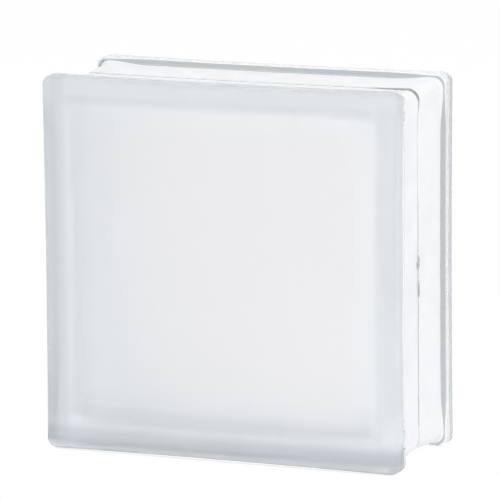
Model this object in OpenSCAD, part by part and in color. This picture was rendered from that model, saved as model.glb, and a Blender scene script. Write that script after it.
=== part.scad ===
// Hollow glass block with a raised flange round each face and a fused seam
// All sizes are in millimetres, the block stands upright on its lower edge
// and its satin face looks towards negative Y

/* [Block] */

// Width across the face
face_width = 190; // [120:1:300]
// Height of the face
face_height = 190; // [120:1:300]
// Depth from face to face
block_depth = 80; // [60:1:100]

/* [Flange] */

// Thickness of the flange measured from the face
flange_thickness = 11; // [8:0.5:15]
// Corner radius of the flange outline
flange_corner_radius = 5; // [4.5:0.1:8]
// Rounding of the edge between face and flange
face_edge_radius = 3; // [1:0.1:4]
// Rounding of the flange edge beside the channel
lip_radius = 1; // [0.5:0.1:1.3]

/* [Channel] */

// Recess of the side wall where it leaves the flange
foot_recess = 2.9; // [2.7:0.1:3.5]
// Recess of the side wall at the seam
seam_recess = 4; // [3.8:0.1:6]
// Corner radius of the side wall at the seam
wall_corner_radius = 5.5; // [4.5:0.1:10]
// Radius of the cove at the foot of the flange
cove_radius = 1.6; // [1:0.1:1.6]

/* [Seam] */

// Rounding of each rim of the fused seam
rim_radius = 1.5; // [1.3:0.1:2]
// Half of the width of the rounded rims
rim_reach = 1.3; // [0.8:0.05:1.3]

/* [Cavity] */

// Thickness of each glass face
face_thickness = 8; // [6:0.5:12]
// Inset of the cavity from the outline at the seam
cavity_inset_seam = 11; // [9:0.5:14]
// Inset of the cavity from the outline beside the face
cavity_inset_face = 13; // [11:0.5:16]
// Corner radius of the cavity at the seam
cavity_corner_radius = 10; // [9:0.5:16]
// Fillet between the cavity wall and the inside of the face
cavity_fillet = 6; // [3:0.5:7]

/* [Hidden] */

$fn = 96;
glass_tint = [0.90, 0.93, 0.94];
half_depth = block_depth / 2;

// Distance of each swept corner axis from the outline
flange_axis = flange_corner_radius;
wall_axis = seam_recess + wall_corner_radius;
cavity_axis = cavity_inset_seam + cavity_corner_radius;

// Depth of the flange back plane from the seam and the depth the wall is rooted to
lip_depth = half_depth - flange_thickness;
root_depth = lip_depth + flange_thickness / 4;

// Draft of the outer wall, from the seam to the foot of the flange
wall_draft = atan((seam_recess - foot_recess) / (lip_depth - rim_reach));
wall_normal = [cos(wall_draft), -sin(wall_draft)];

// Rounded rim beside the seam
rim_center = [wall_corner_radius - rim_radius * wall_normal[0], rim_reach];
rim_end = [rim_center[0] + sqrt(rim_radius * rim_radius - rim_reach * rim_reach), 0];
rim_top = rim_center + rim_radius * wall_normal;

// Concave cove where the wall runs into the back of the flange, met at a slight angle
cove_meeting = 12;
cove_depth = lip_depth + 0.15 - cove_radius;
cove_reach = cove_radius * cos(cove_meeting) / wall_normal[0];
cove_center = [
    rim_top[0] + (cove_depth - rim_top[1]) * tan(wall_draft) + cove_reach,
    cove_depth
];
cove_turn = wall_draft + cove_meeting;
cove_foot = cove_center + cove_radius * [-cos(cove_turn), sin(cove_turn)];
cove_top = cove_center + [0, cove_radius];

// Fillet of the cavity, with the depth measured from the seam
cavity_depth = half_depth - face_thickness;
cavity_draft = atan((cavity_inset_face - cavity_inset_seam) / cavity_depth);
fillet_center = [
    cavity_axis - cavity_inset_face - cavity_fillet * (1 - sin(cavity_draft)) / cos(cavity_draft),
    cavity_depth - cavity_fillet
];
fillet_side = fillet_center + cavity_fillet * [cos(cavity_draft), sin(cavity_draft)];
fillet_face = fillet_center + [0, cavity_fillet];

// Slice of a disc between two directions from its centre
module pie(center, radius, from, to) {
    middle = from + to;
    reach = 2 / norm(middle);
    intersection() {
        translate(center) circle(r = radius);
        polygon([
            center,
            center + 2 * radius * from,
            center + 2 * radius * reach * middle,
            center + 2 * radius * to
        ]);
    }
}

// Flange section, outwards along X and from the face inwards along Y
module flange_section() {
    band = flange_thickness - face_edge_radius - lip_radius;
    translate([0, face_edge_radius]) square([flange_axis, band]);
    square([flange_axis - face_edge_radius, face_edge_radius]);
    pie([flange_axis - face_edge_radius, face_edge_radius], face_edge_radius, [0, -1], [1, 0]);
    translate([0, flange_thickness - lip_radius]) square([flange_axis - lip_radius, lip_radius]);
    pie([flange_axis - lip_radius, flange_thickness - lip_radius], lip_radius, [1, 0], [0, 1]);
}

// Half of the side wall section, outwards along X and from the seam along Y
module wall_half_section() {
    polygon([
        [0, 0],
        rim_end,
        rim_center,
        rim_top,
        cove_foot,
        [cove_foot[0], root_depth],
        [0, root_depth]
    ]);
    pie(rim_center, rim_radius, (rim_end - rim_center) / rim_radius, wall_normal);
    difference() {
        polygon([
            cove_foot,
            cove_center,
            cove_top,
            [cove_top[0], root_depth],
            [cove_foot[0], root_depth]
        ]);
        translate(cove_center) circle(r = cove_radius);
    }
}

// Side wall section across the whole depth, with the seam groove half way
module wall_section() {
    wall_half_section();
    mirror([0, 1]) wall_half_section();
}

// Half of the cavity section, outwards along X and from the seam along Y
module cavity_half_section() {
    polygon([
        [0, 0],
        [cavity_corner_radius, 0],
        fillet_side,
        fillet_center,
        fillet_face,
        [0, cavity_depth]
    ]);
    pie(fillet_center, cavity_fillet, [cos(cavity_draft), sin(cavity_draft)], [0, 1]);
}

// Cavity section across the whole depth
module cavity_section() {
    cavity_half_section();
    mirror([0, 1]) cavity_half_section();
}

// A section carried round the rectangle of corner axes, with the middle filled
module swept(axis, low, high) {
    reach_x = face_width / 2 - axis;
    reach_y = face_height / 2 - axis;
    translate([-reach_x, -reach_y, low]) cube([2 * reach_x, 2 * reach_y, high - low]);
    for (turn = [0, 180]) {
        rotate([0, 0, turn]) translate([reach_x, reach_y, 0]) rotate([90, 0, 0])
            linear_extrude(height = 2 * reach_y) children();
        rotate([0, 0, turn + 90]) translate([reach_y, reach_x, 0]) rotate([90, 0, 0])
            linear_extrude(height = 2 * reach_x) children();
        rotate([0, 0, turn]) translate([reach_x, reach_y, 0])
            rotate_extrude(angle = 90) children();
        rotate([0, 0, turn + 90]) translate([reach_y, reach_x, 0])
            rotate_extrude(angle = 90) children();
    }
}

// One face plate with its rounded edge and lip
module flange() {
    translate([0, 0, -half_depth]) swept(flange_axis, 0, flange_thickness) flange_section();
}

// The pressed and fused block, hollow inside, standing on its lower edge
module glass_block() {
    color(glass_tint)
        translate([0, 0, face_height / 2]) rotate([90, 0, 0]) difference() {
            union() {
                flange();
                mirror([0, 0, 1]) flange();
                swept(wall_axis, -root_depth, root_depth) wall_section();
            }
            swept(cavity_axis, -cavity_depth, cavity_depth) cavity_section();
        }
}

glass_block();
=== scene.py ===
"""Hollow satin glass block with a white-coated edge channel and a fused seam."""

import math

import bmesh
import bpy
import numpy as np
from bpy.props import FloatProperty, FloatVectorProperty, IntProperty, PointerProperty
from mathutils import Matrix, Vector


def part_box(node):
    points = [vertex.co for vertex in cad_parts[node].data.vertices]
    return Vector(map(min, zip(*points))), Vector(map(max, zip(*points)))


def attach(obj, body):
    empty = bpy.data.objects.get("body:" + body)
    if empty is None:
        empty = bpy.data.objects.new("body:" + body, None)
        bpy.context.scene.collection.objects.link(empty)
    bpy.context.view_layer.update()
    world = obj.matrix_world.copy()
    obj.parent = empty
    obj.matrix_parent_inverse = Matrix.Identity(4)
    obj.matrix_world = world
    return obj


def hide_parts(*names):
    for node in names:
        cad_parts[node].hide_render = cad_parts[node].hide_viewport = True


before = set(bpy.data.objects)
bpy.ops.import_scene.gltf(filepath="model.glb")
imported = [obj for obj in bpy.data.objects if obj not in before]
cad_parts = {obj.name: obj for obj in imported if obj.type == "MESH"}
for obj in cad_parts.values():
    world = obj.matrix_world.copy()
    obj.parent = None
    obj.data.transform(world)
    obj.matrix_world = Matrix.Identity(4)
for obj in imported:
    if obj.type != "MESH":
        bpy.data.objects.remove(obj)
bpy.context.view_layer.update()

bl_info = {
    "name": "Glass Block",
    "version": (1, 0, 0),
    "blender": (4, 5, 0),
    "location": "View3D > Sidebar > Glass Block",
    "description": "Builds a hollow satin glass block and a plain studio around it",
    "category": "Add Mesh",
}

NODE = "glass_block"
LOW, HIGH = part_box(NODE)

# Finishes, in the order of the material slots
SATIN, CLEAR, COATING, BARE, FUSED, DROP = range(6)

# The first two sides in the order in which the outline runs round the block
RIGHT_SIDE, UPPER_SIDE = range(2)

# Painted shade on the etch of the front face where the thick glass of the edges lies behind it,
# as points of the distance in metres from one side of the face and the level there; levels below nought
# are a faint painted highlight
LOW_STRIP = (
    (0.0008, 0.70), (0.0020, 0.0), (0.0027, 0.0),
    (0.0056, 0.82), (0.0090, 0.80), (0.0168, 0.0),
)
LOW_LINES = (
    (0.0125, 0.0), (0.0145, -0.05), (0.0163, -0.05), (0.0200, 0.36),
    (0.0220, 0.34), (0.0260, 0.18), (0.0380, 0.0),
)
LEFT_STRIP = ((0.0040, 0.30), (0.0065, 0.42), (0.0105, 0.42), (0.0157, 0.0))
LEFT_LINES = (
    (0.0130, 0.0), (0.0150, -0.05), (0.0188, -0.05),
    (0.0217, 0.14), (0.0238, 0.12), (0.0285, 0.0),
)
TOP_STRIP = ((0.0105, 0.20), (0.0155, 0.0))
TOP_LINES = ((0.0080, 0.0), (0.0103, 0.20), (0.0122, 0.20), (0.0165, 0.0))
RIGHT_LINES = (
    (0.0012, -0.05), (0.0030, 0.04), (0.0036, 0.04), (0.0055, 0.0),
    (0.0078, 0.0), (0.0100, 0.13), (0.0110, 0.13), (0.0145, 0.0),
)
LOW_RIGHT_CORNER = ((0.002, 0.70), (0.008, 0.0))
REAR_SIDES = ((0.0005, 0.72), (0.0025, 0.0))

# The lower painted shade grows to the right, and adds to the left one where they meet
LOW_GROWTH = ((0.03, 0.91), (0.16, 1.14))
MEETING = 0.45

# Painted shade all over the etch, and the stretches over which the painted shades fade
ALL_OVER = 0.05
LINE_ENDS = (0.011, 0.017)
HALF_FADE = (0.0, 0.01)

# Painted shade over the field in the middle of the face, which is strongest in its upper right
FIELD_EDGE = (0.017, 0.029)
FIELD_ALONG, FIELD_UP = 1.5, 0.5
FIELD_GROWTH = ((0.05, 0.15), (0.17, 1.0))

# Finish
GLASS_IOR = 1.5
SATIN_HAZE = 0.03
SATIN_UNEVEN = 0.025
PRESSED_ROUGHNESS = 0.03
COATING_UNEVEN = 0.06
COATING_THIN = 0.96
COATING_LETS_THROUGH = 0.2

# Mesh
ARC_STEPS = 48
EDGE_STEPS = 8
FILLET_STEPS = 12
DROP_STEPS = 16
MERGE_DISTANCE = 2e-6
SLIVER = 1e-7

# Face inside its rounded edge, as inset, corner radius and share of the bow
FACE_CAP = 0.016
FACE_RINGS = ((FACE_CAP, 0.0, 0.0), (0.010, 0.0008, 0.3), (0.006, 0.0018, 0.7))
EDGE_MARGIN = 1.15
LIP_MARGIN = 1.3
COVE_MARGIN = 1.5

# Ragged limit of the etch, for the front and the rear half
FRONT_SEED, REAR_SEED = 0.4, 2.3
ETCH_WANDER = 0.0003

# Bare glass beside the lip, with its width on the right, upper, left and lower side; its dark tint is
# painted shade, and the wide bands on the left and lower side of the front paint shade over those edges
# of the face
FRONT_SHADE_BANDS = (0.0004, 0.0, 0.0050, 0.0050)
REAR_BANDS = (0.0015, 0.0024, 0.0024, 0.0024)
BAND_TAPER = 0.26
BAND_RAGGED = 0.04
BAND_START = 0.0001
BAND_OVER_LIP = 0.0009
BAND_LEAST = 0.0004

# Drafted wall behind the flange, with its share of the bow
WALL_BOW = 0.6
WALL_START = 0.006
WALL_PARTS = (0.0, 0.3, 0.6)
RIM_MARGIN = 0.004

# Bare glass beside the seam, and what each place adds to it or takes from it
SEAM_GAP = 0.0007
UPPER_MORE = 0.0004
UPPER_ENDS_MORE = 0.0003
RIGHT_HIGH_LESS = 0.0003
WAVE_MORE = 0.0001
STROKE_MORE = 0.0028
STROKE_START = 0.35
FUSED_GAP = 0.0016

# Hollow: the rings inside its fillet, and the fused glass that stands proud inside the seam
HOLLOW_CAP = 0.034
HOLLOW_INSET, HOLLOW_RADIUS = 0.026, 0.0015
FILLET_MARGIN = 0.0008
HOLLOW_PARTS = (0.3, 0.6, 0.9)
SEAM_BEAD = ((0.0016, 0.0), (0.0010, 0.0003), (0.0004, 0.0006), (0.0, 0.0007))

# Drops of glass that the fused seam left on the right, as height, half width and half length
DROPS = ((0.1010, 0.0012, 0.0042), (0.0985, 0.0016, 0.0022), (0.0865, 0.0010, 0.0060))
DROP_SUNK = 0.0004
DROP_BEFORE_SEAM = 0.0013
DROP_STANDS = 0.0011

# Studio
KEY_PLACE, KEY_SIZE = (1.3, -0.7, 0.9), 1.2
TOP_PLACE, TOP_SIZE = (-0.2, 0.2, 1.6), 1.4
ROOM_AXIS = (0.6, 0.7, 0.4)
ROOM_TURN = (-0.5, 0.4)
FLOOR_REACH, FLOOR_STEPS = 6.0, 24
FLOOR_MATT = 0.95
FLOOR_SHOWN = 0.9
FLOOR_WHITE = 1.02
SHADE_INSIDE = -0.04
CONTACT_LINE = (0.0009, 0.0022)
CONTACT_BACK = 0.0012
CONTACT_ENDS = 0.006
SENSOR = 36.0
FAR = 50.0


def length(name, description, default):
    """A size in metres that the user may change."""
    return FloatProperty(
        name=name, description=description, default=default, unit="LENGTH", precision=5
    )


def angle(name, description, degrees):
    """An angle that the user may change."""
    return FloatProperty(
        name=name, description=description, default=math.radians(degrees), subtype="ANGLE"
    )


def level(name, description, default, **more):
    """A number from nought upwards that the user may change."""
    return FloatProperty(name=name, description=description, default=default, min=0, **more)


def steps(name, description, default, least):
    """A number of mesh steps that the user may change."""
    return IntProperty(name=name, description=description, default=default, min=least)


def colour(name, description, default):
    """A linear colour that the user may change."""
    return FloatVectorProperty(
        name=name, description=description, default=default, subtype="COLOR", size=3, min=0, max=1
    )


class GlassBlockSizes(bpy.types.PropertyGroup):
    """Sizes of the moulded glass"""

    width: length("Width", "Width across the face", HIGH.x - LOW.x)
    height: length("Height", "Height of the face", HIGH.z - LOW.z)
    depth: length("Depth", "Depth from face to face", HIGH.y - LOW.y)
    flange: length("Flange", "Thickness of the flange behind the face", 0.011)
    flange_corner: length("Flange Corner", "Corner radius of the flange outline", 0.005)
    face_edge: length("Face Edge", "Rounding between face and flange", 0.003)
    lip: length("Lip", "Rounding of the flange beside the channel", 0.001)
    foot_recess: length("Foot Recess", "Recess of the wall where it leaves the flange", 0.0029)
    seam_recess: length("Seam Recess", "Recess of the wall at the seam", 0.004)
    foot_corner: length("Foot Corner", "Corner radius of the wall where it leaves the flange", 0.0046)
    wall_corner: length("Wall Corner", "Corner radius of the wall at the seam", 0.006)
    cove: length("Cove", "Radius at the foot of the flange", 0.0016)
    rim: length("Rim", "Rounding of the rims of the seam", 0.0015)
    rim_reach: length("Rim Reach", "Half of the width of the rounded rims", 0.0013)
    pane: length("Pane", "Thickness of each glass face", 0.008)
    cavity_seam: length("Cavity at Seam", "Inset of the cavity at the seam", 0.011)
    cavity_face: length("Cavity at Face", "Inset of the cavity beside the face", 0.013)
    cavity_corner: length("Cavity Corner", "Corner radius of the cavity at the seam", 0.010)
    cavity_fillet: length("Cavity Fillet", "Fillet round the inside of the face", 0.006)
    etched: length("Etched Edge", "How far the satin etch runs over the front flange", 0.0078)
    etched_rear: length("Etched Rear Edge", "How far the satin etch runs over the rear flange", 0.0070)
    bow: length("Bow", "How far the edges are drawn in half way along", 0.0005)
    side_steps: steps("Side Steps", "Mesh steps along a side", 32, 8)
    corner_steps: steps("Corner Steps", "Mesh steps round a corner", 12, 4)


class GlassBlockFinish(bpy.types.PropertyGroup):
    """Colours and surface finish"""

    satin_tint: colour("Satin Tint", "Colour of the etched glass", (0.991, 0.995, 1.000))
    # Painted shade: the field tint darkens and warms the etch over the hollow, and the edge tint darkens
    # it over the thick edges
    field_shade_tint: colour("Field Tint", "Colour of the etch before the hollow", (0.950, 0.919, 0.928))
    edge_shade_tint: colour("Edge Tint", "Colour of the etch before the thick edges", (0.497, 0.521, 0.562))
    clear_tint: colour("Clear Tint", "Colour of the clear glass", (0.978, 0.988, 0.995))
    # Painted shade: the dark tint of the bare glass darkens the band beside the lip and the line beside
    # the seam
    bare_shade_tint: colour("Bare Tint", "Colour of the bare glass in the channel", (0.32, 0.36, 0.39))
    fused_tint: colour("Fused Tint", "Colour of the thick glass that the seam left", (0.13, 0.13, 0.17))
    drop_tint: colour("Drop Tint", "Colour of the drops beside the seam", (0.80, 0.82, 0.84))
    coating: colour("Coating", "Colour of the white edge coating", (0.905, 0.920, 0.940))
    # Painted light: the coating is lighter on the side seen through the glass
    coating_inside_painted_light: colour("Coating Inside", "Coating seen through the glass", (0.944, 0.967, 0.978))
    satin_roughness: level("Satin Roughness", "Roughness of the etched faces", 0.7, max=1)
    coating_roughness: level("Coating Roughness", "Roughness of the coating", 0.5, max=1)


class GlassBlockStudio(bpy.types.PropertyGroup):
    """Camera, lamps and floor"""

    yaw: angle("Yaw", "Turn of the camera to the right of the face", 22.304)
    pitch: angle("Pitch", "Tilt of the camera towards the floor", 10.566)
    roll: angle("Roll", "Turn of the camera about its view", -0.465)
    distance: length("Distance", "Camera distance from the middle of the block", 2.5502)
    slide: length("Slide", "Camera shift to the right", 0.000557)
    lift: length("Lift", "Camera shift upwards", 0.005274)
    lens: FloatProperty(name="Lens", description="Focal length in millimetres", default=366.06, min=1)
    floor: colour("Floor", "Colour of the floor and the background", (1.0, 1.0, 1.0))
    ambient: level("Ambient", "Level of the room light", 0.70)
    front: level("Front", "Level of the room before the block, as the glass shows it", 0.66)
    # Painted shade under the block and a painted contact shadow along its front edge, on the floor
    shade: level("Shade", "Level of the floor under the block", 0.80)
    shade_reach: length("Shade Reach", "How far the floor is shaded beside the block", 0.02)
    contact: level("Contact", "Level of the floor under the front edge", 0.85)
    key: level("Key", "Power of the lamp on the right", 8.8, unit="POWER")
    top: level("Top", "Power of the lamp above", 5.0, unit="POWER")


class Value:
    """A shader socket that takes part in plain Python arithmetic."""

    def __init__(self, shader, socket):
        self.shader = shader
        self.socket = socket

    def math(self, operation, other=None):
        values = {0: self} if other is None else {0: self, 1: other}
        return self.shader.node("ShaderNodeMath", {"operation": operation}, values)

    def __add__(self, other):
        return self.math("ADD", other)

    __radd__ = __add__

    def __mul__(self, other):
        return self.math("MULTIPLY", other)

    __rmul__ = __mul__

    def __sub__(self, other):
        return self.math("SUBTRACT", other)

    def __rsub__(self, other):
        return (self * -1.0) + other

    def __abs__(self):
        return self.math("ABSOLUTE")

    def larger(self, other):
        return self.math("MAXIMUM", other)

    def smaller(self, other):
        return self.math("MINIMUM", other)

    def ramp(self, low, high):
        """0 below low, 1 above high and a smooth step between."""
        settings = {"interpolation_type": "SMOOTHSTEP", "clamp": True}
        values = {"Value": self, "From Min": low, "From Max": high, "To Min": 0.0, "To Max": 1.0}
        return self.shader.node("ShaderNodeMapRange", settings, values)

    def fade(self, low, high, before, after):
        """One level below low, another above high and a smooth step between."""
        return self.ramp(low, high) * (after - before) + before

    def steps(self, points):
        """Smooth steps through points of value and level."""
        total = points[0][1]
        for (low, before), (high, after) in zip(points, points[1:]):
            if before != after:
                total = self.ramp(low, high) * (after - before) + total
        return total


class Shader:
    """Adds nodes to one node tree."""

    def __init__(self, tree):
        self.tree = tree
        self.tree.nodes.clear()

    def node(self, kind, settings=None, values=None, output=0):
        made = self.tree.nodes.new(kind)
        for name, setting in (settings or {}).items():
            setattr(made, name, setting)
        for name, value in (values or {}).items():
            socket = made.inputs[name]
            if isinstance(value, Value):
                self.tree.links.new(value.socket, socket)
            else:
                socket.default_value = value
        return Value(self, made.outputs[output]) if made.outputs else None

    def blend(self, share, first, second):
        """A colour that goes from first to second."""
        settings = {"data_type": "RGBA"}
        return self.node("ShaderNodeMix", settings, {0: share, 6: first, 7: second}, 2)

    def noise(self, place, scale, detail):
        values = {"Vector": place, "Scale": scale, "Detail": detail}
        return self.node("ShaderNodeTexNoise", {}, values, "Fac")

    def place(self):
        """Position on the object, in metres."""
        return self.node("ShaderNodeTexCoord", {}, {}, "Object")

    def split(self, place):
        """The three parts of a position."""
        return [self.node("ShaderNodeSeparateXYZ", {}, {"Vector": place}, axis) for axis in "XYZ"]

    def ray(self, kind):
        """1 for rays of one kind."""
        return self.node("ShaderNodeLightPath", {}, {}, kind)

    def bump(self, height, strength, distance):
        values = {"Height": height, "Strength": strength, "Distance": distance}
        return self.node("ShaderNodeBump", {}, values)

    def surface(self, shader):
        self.node("ShaderNodeOutputMaterial", {}, {"Surface": shader})

    def glass(self, tint, roughness, through, normal):
        """The surface of a material that lets a share of the light through."""
        values = {
            "Base Color": tint,
            "Roughness": roughness,
            "IOR": GLASS_IOR,
            "Transmission Weight": through,
            "Normal": normal,
        }
        self.surface(self.node("ShaderNodeBsdfPrincipled", {}, values))


def new_material(name):
    """An empty material with its shader."""
    made = bpy.data.materials.new(name)
    made.use_nodes = True
    return made, Shader(made.node_tree)


def rgba(values):
    """A colour with full alpha."""
    return (*values, 1.0)


def edge_shade(s, here, sizes):
    """How strongly the painted shade of the edges lies at a place on the etch, and how strongly the
    painted shade of the field does.
    """
    x, y, low = s.split(here)
    left = x + sizes.width / 2
    right = sizes.width / 2 - x
    top = sizes.height - low
    beside = left.smaller(right)
    above = low.smaller(top)
    growth = left.steps(LOW_GROWTH)
    low_strip = low.steps(LOW_STRIP) * growth
    left_strip = left.steps(LEFT_STRIP)
    shade_strips = low_strip.larger(left_strip).larger(top.steps(TOP_STRIP))
    shade_strips = shade_strips + low_strip.smaller(left_strip) * MEETING
    shade_strips = shade_strips.larger(low.larger(right).steps(LOW_RIGHT_CORNER))
    level_lines = (low.steps(LOW_LINES) * growth + top.steps(TOP_LINES)) * beside.ramp(*LINE_ENDS)
    upright_lines = (left.steps(LEFT_LINES) + right.steps(RIGHT_LINES)) * above.ramp(*LINE_ENDS)
    front = (y * -1.0).ramp(*HALF_FADE)
    rear = y.ramp(*HALF_FADE) * beside.steps(REAR_SIDES)
    edge = (shade_strips + level_lines + upright_lines) * front + rear + ALL_OVER
    slant = left * FIELD_ALONG + low * FIELD_UP
    field = beside.smaller(above).ramp(*FIELD_EDGE) * slant.steps(FIELD_GROWTH) * front
    return edge, field


def satin_glass(finish, sizes):
    """Etched glass: rough, slightly cloudy, with a very fine grain, and with painted shade over its
    edges and its field.
    """
    made, s = new_material("satin_glass")
    here = s.place()
    cloud = s.noise(here, scale=38.0, detail=4.0)
    grain = s.noise(here, scale=2600.0, detail=2.0)
    edge, field = edge_shade(s, here, sizes)
    haze = cloud.ramp(0.3, 0.7) * SATIN_HAZE
    # Painted shade of the edges and of the field, blended over the tint of the etch
    painted_shade_border = s.blend(edge + haze, rgba(finish.satin_tint), rgba(finish.edge_shade_tint))
    tint = s.blend(field * (1.0 - edge), painted_shade_border, rgba(finish.field_shade_tint))
    smoothest = finish.satin_roughness - SATIN_UNEVEN
    roughest = finish.satin_roughness + SATIN_UNEVEN
    rough = cloud.fade(0.25, 0.75, smoothest, roughest)
    s.glass(tint, rough, 1.0, s.bump(grain, strength=0.05, distance=0.00005))
    return made


def clear_glass(name, tint):
    """Pressed glass: glossy, with the slow ripple that pressing leaves."""
    made, s = new_material(name)
    ripple = s.noise(s.place(), scale=55.0, detail=2.0)
    s.glass(rgba(tint), PRESSED_ROUGHNESS, 1.0, s.bump(ripple, strength=0.04, distance=0.002))
    return made


def white_coating(finish):
    """White coating that lets a little light through, with painted light on the side seen through the
    glass, which is lighter.
    """
    made, s = new_material("white_coating")
    here = s.place()
    cloud = s.noise(here, scale=60.0, detail=4.0)
    peel = s.noise(here, scale=700.0, detail=3.0)
    thin = rgba([COATING_THIN * part for part in finish.coating])
    outside = s.blend(cloud.ramp(0.35, 0.7), rgba(finish.coating), thin)
    # Painted light on the side of the coating seen through the glass
    behind = s.node("ShaderNodeNewGeometry", {}, {}, "Backfacing")
    tint = s.blend(behind, outside, rgba(finish.coating_inside_painted_light))
    smoothest = finish.coating_roughness - COATING_UNEVEN
    roughest = finish.coating_roughness + COATING_UNEVEN
    rough = cloud.fade(0.2, 0.8, smoothest, roughest)
    s.glass(tint, rough, COATING_LETS_THROUGH, s.bump(peel, strength=0.2, distance=0.0002))
    return made


class Outline:
    """The columns of a rounded rectangle, counted round it from the lower end of the right side."""

    def __init__(self, sizes):
        self.half = (sizes.width / 2, sizes.height / 2)
        self.middle = sizes.height / 2
        along = np.sin(np.linspace(-1.0, 1.0, sizes.side_steps + 1) * math.pi / 2)
        angles = np.linspace(0.0, math.pi / 2, sizes.corner_steps + 1)[1:-1]
        self.along_side = along
        side, place, turn, corner = [], [], [], []
        for k in range(4):
            side += [k] * (len(along) + len(angles))
            place += list(along) + [1.0] * len(angles)
            turn += [0.0] * len(along) + list(angles)
            corner += [0.0] * len(along) + [1.0] * len(angles)
        self.side = np.array(side)
        self.place = np.array(place)
        self.turn = np.array(turn)
        self.corner = np.array(corner)
        self.count = len(side)

    def wave(self, turns, step, start):
        """A wave along each side, moved on by a step from side to side."""
        return np.sin(self.place * turns + self.side * step + start)

    def ring(self, depth, inset, radius):
        """Points of one ring. Each value is a number, or one number for each column."""
        depth = np.broadcast_to(np.asarray(depth, float), (self.count,))
        inset = np.broadcast_to(np.asarray(inset, float), (self.count,))
        radius = np.broadcast_to(np.asarray(radius, float), (self.count,))
        even = self.side % 2 == 0
        out = np.where(even, self.half[0], self.half[1]) - inset - radius
        tangent = np.where(even, self.half[1], self.half[0]) - inset - radius
        heading = self.side * math.pi / 2
        n = np.stack([np.cos(heading), np.sin(heading)], 1)
        t = np.stack([-np.sin(heading), np.cos(heading)], 1)
        normal = out + radius * np.cos(self.turn)
        travel = tangent * self.place + radius * np.sin(self.turn)
        flat = n * normal[:, None] + t * travel[:, None]
        return np.stack([flat[:, 0], depth, flat[:, 1] + self.middle], 1)


def arc(center, radius, start, end, count):
    """Points of an arc in the plane of depth and inset, angles in degrees."""
    angles = np.radians(np.linspace(start, end, count + 1))
    return [(center[0] + radius * math.cos(a), center[1] + radius * math.sin(a)) for a in angles]


def rise(values, low, high):
    """0 below low, 1 above high and a straight rise between."""
    return np.clip((values - low) / (high - low), 0.0, 1.0)


def run_length(path):
    """Distance along a path at each of its points."""
    return np.concatenate([[0.0], np.cumsum(np.linalg.norm(np.diff(path, axis=0), axis=1))])


class MeshParts:
    """Collects the points and faces of one mesh."""

    def __init__(self, outline):
        self.outline = outline
        self.points = []
        self.faces = []
        self.finish = []

    def add(self, points):
        first = len(self.points)
        self.points.extend(map(tuple, points))
        return first

    def skin(self, rings, flip):
        """Quads between rings. Each ring is its points and the finish of the band that follows it."""
        count = self.outline.count
        starts = [self.add(points) for points, finish in rings]
        for i in range(len(rings) - 1):
            a, b = starts[i], starts[i + 1]
            finish = np.broadcast_to(rings[i][1], (count,))
            for c in range(count):
                d = (c + 1) % count
                quad = (a + c, b + c, b + d, a + d)
                self.faces.append(quad[::-1] if flip else quad)
                self.finish.append(finish[c])

    def cap(self, depth, inset, finish, flip):
        """A flat grid that closes the square inside the ring without corners."""
        outline = self.outline
        along = outline.along_side
        reach_x = outline.half[0] - inset
        reach_z = outline.half[1] - inset
        grid = [(x * reach_x, depth, z * reach_z + outline.middle) for z in along for x in along]
        first = self.add(grid)
        row = len(along)
        for j in range(row - 1):
            for i in range(row - 1):
                a = first + j * row + i
                quad = (a, a + 1, a + row + 1, a + row)
                self.faces.append(quad[::-1] if flip else quad)
                self.finish.append(finish)

    def bead(self, center, reach, finish):
        """A closed drop of glass, drawn out along the height."""
        first = self.add([(center[0], center[1], center[2] - reach[2])])
        rows = []
        for j in range(1, DROP_STEPS // 2):
            tilt = math.pi * j / (DROP_STEPS // 2)
            ring = []
            for i in range(DROP_STEPS):
                turn = 2 * math.pi * i / DROP_STEPS
                x = reach[0] * math.sin(tilt) * math.cos(turn)
                y = reach[1] * math.sin(tilt) * math.sin(turn)
                ring.append((center[0] + x, center[1] + y, center[2] - reach[2] * math.cos(tilt)))
            rows.append(self.add(ring))
        last = self.add([(center[0], center[1], center[2] + reach[2])])
        for i in range(DROP_STEPS):
            k = (i + 1) % DROP_STEPS
            self.faces.append((first, rows[0] + k, rows[0] + i))
            self.faces.append((last, rows[-1] + i, rows[-1] + k))
            for a, b in zip(rows, rows[1:]):
                self.faces.append((a + i, a + k, b + k, b + i))
        self.finish += [finish] * (len(self.faces) - len(self.finish))

    def build(self, name, materials):
        """The finished object, with the seams between its bands closed."""
        mesh = bpy.data.meshes.new(name)
        mesh.from_pydata(self.points, [], self.faces)
        for material in materials:
            mesh.materials.append(material)
        mesh.polygons.foreach_set("material_index", np.array(self.finish, np.int32))
        edit = bmesh.new()
        edit.from_mesh(mesh)
        bmesh.ops.remove_doubles(edit, verts=edit.verts, dist=MERGE_DISTANCE)
        bmesh.ops.dissolve_degenerate(edit, edges=edit.edges, dist=SLIVER)
        edit.to_mesh(mesh)
        edit.free()
        mesh.polygons.foreach_set("use_smooth", np.ones(len(mesh.polygons), bool))
        mesh.update()
        obj = bpy.data.objects.new(name, mesh)
        bpy.context.scene.collection.objects.link(obj)
        return obj


def seam_gap(outline):
    """Width of bare glass beside the seam, widest where the upper side turns into the right one."""
    place, corner = outline.place, outline.corner
    turned = outline.turn / (math.pi / 2)
    right = outline.side == RIGHT_SIDE
    upper = outline.side == UPPER_SIDE
    gap = SEAM_GAP + upper * (UPPER_MORE + UPPER_ENDS_MORE * rise(np.abs(place), 0.86, 0.98))
    gap = gap - RIGHT_HIGH_LESS * right * rise(place, 0.25, 0.55)
    gap = gap + WAVE_MORE * outline.wave(11.0, 2.7, 1.0) ** 2
    along = upper * (1 - corner) * rise(-place, 0.75, 0.95)
    down = (1 - corner) * STROKE_START * rise(place, 0.93, 1.0)
    bend = right * (corner * (STROKE_START + (1 - STROKE_START) * turned) + down)
    return gap + STROKE_MORE * np.maximum(along, bend)


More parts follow.
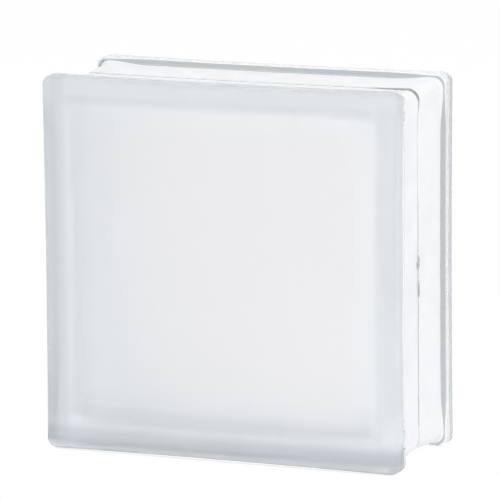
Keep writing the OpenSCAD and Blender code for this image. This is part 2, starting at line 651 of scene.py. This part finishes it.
def half_rings(sizes, outline, seed, etched, bands):
    """Rings of one half from its face to the seam, as depth from the face, inset, radius and finish.

    The seed moves the ragged lines, the etch ends at the depth etched, and bands holds the width of
    the bare glass beside the lip on each side.
    """
    z = sizes
    rings = []
    sides = 1.0 - outline.corner
    bow = z.bow * (1.0 - outline.place ** 2) * sides
    corner = z.flange_corner
    # Face, from the sharp inner square out to the rounded edge
    edge = z.face_edge * EDGE_MARGIN
    for inset, radius, share in FACE_RINGS + ((edge, corner - edge, 1.0),):
        rings.append((0.0, inset + bow * share, radius, SATIN))
    # Rounded edge between face and flange
    for depth, inset in arc((z.face_edge, z.face_edge), z.face_edge, 180, 270, EDGE_STEPS):
        rings.append((depth, inset + bow, corner - inset, SATIN))
    # Flat side of the flange, with the limit of the etch
    wander = ETCH_WANDER * outline.wave(9.0, 2.1, seed)
    rings.append((edge, bow, corner, SATIN))
    rings.append((etched + wander, bow, corner, CLEAR))
    rings.append((z.flange - z.lip * LIP_MARGIN, bow, corner, CLEAR))
    # Section from the lip over the step and its cove to the drafted wall
    half = z.depth / 2
    run = half - z.flange - z.rim_reach
    draft = math.atan2(z.seam_recess - z.foot_recess, run)
    slope = math.tan(draft)
    lip = arc((z.flange - z.lip, z.lip), z.lip, 270, 360, ARC_STEPS)
    center = (z.flange + z.cove, z.foot_recess + slope * z.cove - z.cove / math.cos(draft))
    cove = arc(center, z.cove, 180, 90 + math.degrees(draft), ARC_STEPS)
    starts = (z.cove * COVE_MARGIN, WALL_START)
    wall = [(z.flange + d, z.foot_recess + slope * d) for d in starts]

    def wall_radius(inset):
        """Corner radius of the wall, which grows from the flange towards the seam."""
        down = rise(inset, z.foot_recess, z.seam_recess)
        grown = z.foot_corner + (z.wall_corner - z.foot_corner) * down
        return grown + np.maximum(z.foot_recess - inset, 0.0) - np.maximum(inset - z.seam_recess, 0.0)

    path = np.array(lip + cove + wall)
    turned = len(lip)
    radius = np.concatenate([corner - path[:turned, 1], wall_radius(path[turned:, 1])])
    share = np.concatenate([np.ones(turned), np.full(len(path) - turned, WALL_BOW)])
    travel = run_length(path)
    # A band beside the lip, which draws together at the corners, lies between clear glass and coating;
    # its dark tint is painted shade
    reach = rise(1.0 - np.abs(outline.place), 0.0, BAND_TAPER)
    reach = (reach * reach * (3 - 2 * reach)) * sides
    ragged = 1.0 + BAND_RAGGED * outline.wave(23, 1.7, seed)
    width = np.array(bands)[outline.side] * ragged * reach
    first = travel[turned - 1] + BAND_START - BAND_OVER_LIP * reach * (width > 0)
    last = travel[turned] + BAND_LEAST + width
    stretches = ((0.0, first, 5, CLEAR), (first, last, 7, BARE), (last, travel[-1], 8, COATING))
    for low, high, count, finish in stretches:
        for i in range(count):
            p = low + (high - low) * i / count
            depth, inset, bend, drawn = (
                np.interp(p, travel, values) for values in (path[:, 0], path[:, 1], radius, share)
            )
            rings.append((depth, inset + bow * drawn, bend, finish))
    for part in WALL_PARTS:
        depth = z.flange + WALL_START + part * (run - WALL_START)
        inset = z.foot_recess + slope * (depth - z.flange)
        rings.append((depth, inset + bow * WALL_BOW, wall_radius(inset), COATING))
    # Last of the wall and the rounded rim, where the coating stops short of the seam
    rim_center = (half - z.rim_reach, z.seam_recess + z.rim)
    rim_turn = math.degrees(math.asin(z.rim_reach / z.rim))
    rim = arc(rim_center, z.rim, -90, rim_turn - 90, ARC_STEPS)
    path = np.array([(half - z.rim_reach - RIM_MARGIN, z.seam_recess - slope * RIM_MARGIN)] + rim)
    travel = run_length(path)
    gap = seam_gap(outline)
    bare = np.where(gap > FUSED_GAP, FUSED, BARE)
    stop = travel[-1] - gap
    for low, high, count, finish in ((0.0, stop, 5, COATING), (stop, travel[-1], 6, bare)):
        for i in range(count):
            p = low + (high - low) * i / count
            depth = np.interp(p, travel, path[:, 0])
            inset = np.interp(p, travel, path[:, 1])
            rings.append((depth, inset + bow * WALL_BOW, wall_radius(inset), finish))
    rings.append((half, path[-1, 1] + bow * WALL_BOW, wall_radius(path[-1, 1]), bare))
    return rings


def cavity_rings(sizes):
    """Rings of the hollow of one half, from the inside of its face to the seam."""
    z = sizes
    half = z.depth / 2
    axis = z.cavity_seam + z.cavity_corner
    run = half - z.pane
    draft = math.atan2(z.cavity_face - z.cavity_seam, run)
    r = z.cavity_fillet
    center = (z.pane + r, z.cavity_face + r * (1 - math.sin(draft)) / math.cos(draft))
    edge = center[1] + FILLET_MARGIN
    rings = [
        (z.pane, HOLLOW_CAP, 0.0, CLEAR),
        (z.pane, HOLLOW_INSET, HOLLOW_RADIUS, CLEAR),
        (z.pane, edge, axis - edge, CLEAR),
    ]
    for depth, inset in arc(center, r, 180, 270 + math.degrees(draft), FILLET_STEPS):
        rings.append((depth, inset, axis - inset, CLEAR))
    for share in HOLLOW_PARTS:
        depth = z.pane + r + share * (run - r)
        inset = z.cavity_face + (z.cavity_seam - z.cavity_face) * (depth - z.pane) / run
        rings.append((depth, inset, axis - inset, CLEAR))
    for back, proud in SEAM_BEAD:
        inset = z.cavity_seam + proud
        rings.append((half - back, inset, axis - inset, CLEAR))
    return rings


def placed(sizes, outline, rings, back):
    """Ring points of the front half, or of the back half in the order from seam to face."""
    half = sizes.depth / 2
    if not back:
        return [(outline.ring(d - half, u, r), finish) for d, u, r, finish in rings]
    turned = []
    for i in range(len(rings) - 1, -1, -1):
        d, u, r, finish = rings[i]
        after = rings[i - 1][3] if i else finish
        turned.append((outline.ring(half - d, u, r), after))
    return turned


class GlassBlockMakeBlock(bpy.types.Operator):
    """Builds the pressed and fused glass block with its hollow and its finishes"""

    bl_idname = "glass_block.make_block"
    bl_label = "Make Block"

    def execute(self, context):
        sizes = context.scene.glass_block_sizes
        finish = context.scene.glass_block_finish
        outline = Outline(sizes)
        half = sizes.depth / 2
        parts = MeshParts(outline)
        front = half_rings(sizes, outline, FRONT_SEED, sizes.etched, FRONT_SHADE_BANDS)
        rear = half_rings(sizes, outline, REAR_SEED, sizes.etched_rear, REAR_BANDS)
        outer = placed(sizes, outline, front, False) + placed(sizes, outline, rear, True)[1:]
        parts.skin(outer, False)
        parts.cap(-half, FACE_CAP, SATIN, False)
        parts.cap(half, FACE_CAP, SATIN, True)
        hollow = cavity_rings(sizes)
        inner = placed(sizes, outline, hollow, False) + placed(sizes, outline, hollow, True)[1:]
        parts.skin(inner, True)
        parts.cap(sizes.pane - half, HOLLOW_CAP, CLEAR, True)
        parts.cap(half - sizes.pane, HOLLOW_CAP, CLEAR, False)
        wall = sizes.width / 2 - sizes.seam_recess
        for height, half_width, half_length in DROPS:
            center = (wall - DROP_SUNK, -DROP_BEFORE_SEAM, height)
            parts.bead(center, (DROP_STANDS, half_width, half_length), DROP)
        materials = [
            satin_glass(finish, sizes),
            clear_glass("clear_glass", finish.clear_tint),
            white_coating(finish),
            # The bare glass carries painted shade in its dark tint
            clear_glass("bare_glass_shade", finish.bare_shade_tint),
            clear_glass("fused_glass", finish.fused_tint),
            clear_glass("drop_glass", finish.drop_tint),
        ]
        block = parts.build("block", materials)
        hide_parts(NODE)
        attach(block, "root")
        return {"FINISHED"}


class GlassBlockMakeStage(bpy.types.Operator):
    """Sets the floor, the room light, the lamps and the camera"""

    bl_idname = "glass_block.make_stage"
    bl_label = "Make Stage"

    def execute(self, context):
        studio = context.scene.glass_block_studio
        sizes = context.scene.glass_block_sizes
        context.scene.view_settings.view_transform = "Standard"
        context.scene.cycles.blur_glossy = 0.0
        context.scene.cycles.max_bounces = 32
        context.scene.cycles.glossy_bounces = 16
        context.scene.cycles.transmission_bounces = 24
        context.scene.cycles.diffuse_bounces = 12
        self.lay_floor(studio, sizes)
        self.light_room(context.scene, studio)
        aim = Vector((0.0, 0.0, sizes.height / 2))
        self.hang_lamp("key_lamp", KEY_PLACE, aim, KEY_SIZE, studio.key)
        self.hang_lamp("top_lamp", TOP_PLACE, aim, TOP_SIZE, studio.top)
        self.set_camera(context.scene, studio, aim)
        return {"FINISHED"}

    def lay_floor(self, studio, sizes):
        """A wide flat floor under the block."""
        mesh = bpy.data.meshes.new("floor")
        line = np.linspace(-FLOOR_REACH, FLOOR_REACH, FLOOR_STEPS + 1)
        points = [(x, y, 0.0) for y in line for x in line]
        faces = []
        for j in range(FLOOR_STEPS):
            for i in range(FLOOR_STEPS):
                a = j * (FLOOR_STEPS + 1) + i
                faces.append((a, a + 1, a + FLOOR_STEPS + 2, a + FLOOR_STEPS + 1))
        mesh.from_pydata(points, [], faces)
        floor = bpy.data.objects.new("floor", mesh)
        bpy.context.scene.collection.objects.link(floor)
        mesh.materials.append(self.white_floor(studio, sizes))

    def white_floor(self, studio, sizes):
        """White floor, with painted shade under the block and a painted contact shadow along its front
        edge.
        """
        made, s = new_material("floor")
        here = s.place()
        x, y = s.split(here)[:2]
        away = (abs(x) - sizes.width / 2).larger(abs(y) - sizes.depth / 2)
        # Painted shade on the floor under the block, and a painted contact shadow along its front edge
        painted_floor_shade = away.fade(SHADE_INSIDE, studio.shade_reach, studio.shade, 1.0)
        across = abs(y + (sizes.depth / 2 - CONTACT_BACK))
        along = abs(x) - (sizes.width / 2 - CONTACT_ENDS)
        painted_contact_shadow = across.larger(along).fade(*CONTACT_LINE, studio.contact, 1.0)
        way = s.node("ShaderNodeVectorMath", {"operation": "NORMALIZE"}, {0: here})
        white = s.ray("Is Camera Ray") * FLOOR_WHITE * painted_contact_shadow
        bright = (self.room(s, way, studio) * painted_floor_shade).larger(white)
        scaled = {0: tuple(studio.floor), "Scale": bright}
        shown = s.node("ShaderNodeVectorMath", {"operation": "SCALE"}, scaled)
        glow = s.node("ShaderNodeEmission", {}, {"Color": shown})
        matt = rgba([FLOOR_MATT * part for part in studio.floor])
        plain = s.node("ShaderNodeBsdfDiffuse", {}, {"Color": matt})
        s.surface(s.node("ShaderNodeMixShader", {}, {0: self.seen(s) * FLOOR_SHOWN, 1: plain, 2: glow}))
        return made

    def seen(self, s):
        """1 for the rays that show the background, 0 for those that light the block."""
        through = s.ray("Is Transmission Ray")
        return s.ray("Is Camera Ray").larger(s.ray("Is Glossy Ray")).larger(through)

    def room(self, s, way, studio):
        """Level of the room in a direction: white behind the block, dimmer before it and to its left."""
        settings = {"operation": "DOT_PRODUCT"}
        side = s.node("ShaderNodeVectorMath", settings, {0: way, 1: ROOM_AXIS}, "Value")
        return side.fade(*ROOM_TURN, studio.front, 1.0)

    def light_room(self, scene, studio):
        """Even light from all round, and the room that the glass shows."""
        world = bpy.data.worlds.new("studio")
        world.use_nodes = True
        scene.world = world
        s = Shader(world.node_tree)
        seen = self.seen(s)
        way = s.node("ShaderNodeTexCoord", {}, {}, "Generated")
        shown = self.room(s, way, studio).larger(s.ray("Is Camera Ray"))
        strength = seen * shown + (1.0 - seen) * studio.ambient
        light = s.node("ShaderNodeBackground", {}, {"Color": rgba(studio.floor), "Strength": strength})
        s.node("ShaderNodeOutputWorld", {}, {"Surface": light})

    def hang_lamp(self, name, place, aim, size, power):
        """A round soft lamp that looks at a point."""
        lamp = bpy.data.lights.new(name, "AREA")
        lamp.shape = "DISK"
        lamp.size = size
        lamp.energy = power
        obj = bpy.data.objects.new(name, lamp)
        obj.location = place
        obj.rotation_euler = (aim - Vector(place)).to_track_quat("-Z", "Y").to_euler()
        bpy.context.scene.collection.objects.link(obj)

    def set_camera(self, scene, studio, aim):
        """The camera, turned about the middle of the block."""
        yaw, pitch, roll = studio.yaw, studio.pitch, studio.roll
        level_way = Vector((-math.sin(yaw), math.cos(yaw), 0.0))
        ahead = level_way * math.cos(pitch) - Vector((0.0, 0.0, math.sin(pitch)))
        level_right = Vector((math.cos(yaw), math.sin(yaw), 0.0))
        level_up = level_right.cross(ahead)
        right = level_right * math.cos(roll) + level_up * math.sin(roll)
        up = level_up * math.cos(roll) - level_right * math.sin(roll)
        camera = bpy.data.cameras.new("camera")
        camera.sensor_width = SENSOR
        camera.lens = studio.lens
        camera.clip_end = FAR
        obj = bpy.data.objects.new("camera", camera)
        place = aim - ahead * studio.distance + right * studio.slide + up * studio.lift
        obj.matrix_world = Matrix((
            (right.x, up.x, -ahead.x, place.x),
            (right.y, up.y, -ahead.y, place.y),
            (right.z, up.z, -ahead.z, place.z),
            (0.0, 0.0, 0.0, 1.0),
        ))
        scene.collection.objects.link(obj)
        scene.camera = obj


class GlassBlockPanel(bpy.types.Panel):
    """Lists the sizes, the finish and the steps of the block"""

    bl_idname = "VIEW3D_PT_glass_block"
    bl_label = "Glass Block"
    bl_space_type = "VIEW_3D"
    bl_region_type = "UI"
    bl_category = "Glass Block"

    def draw(self, context):
        scene = context.scene
        groups = (scene.glass_block_sizes, scene.glass_block_finish, scene.glass_block_studio)
        for group in groups:
            box = self.layout.box()
            for name in group.__annotations__:
                box.prop(group, name)
        for operator in (GlassBlockMakeBlock, GlassBlockMakeStage):
            self.layout.operator(operator.bl_idname)


CLASSES = (
    GlassBlockSizes,
    GlassBlockFinish,
    GlassBlockStudio,
    GlassBlockMakeBlock,
    GlassBlockMakeStage,
    GlassBlockPanel,
)


def register():
    for kind in CLASSES:
        bpy.utils.register_class(kind)
    bpy.types.Scene.glass_block_sizes = PointerProperty(type=GlassBlockSizes)
    bpy.types.Scene.glass_block_finish = PointerProperty(type=GlassBlockFinish)
    bpy.types.Scene.glass_block_studio = PointerProperty(type=GlassBlockStudio)


def unregister():
    del bpy.types.Scene.glass_block_studio
    del bpy.types.Scene.glass_block_finish
    del bpy.types.Scene.glass_block_sizes
    for kind in reversed(CLASSES):
        bpy.utils.unregister_class(kind)


def main():
    register()
    bpy.ops.glass_block.make_block()
    bpy.ops.glass_block.make_stage()


if __name__ == "__main__":
    main()
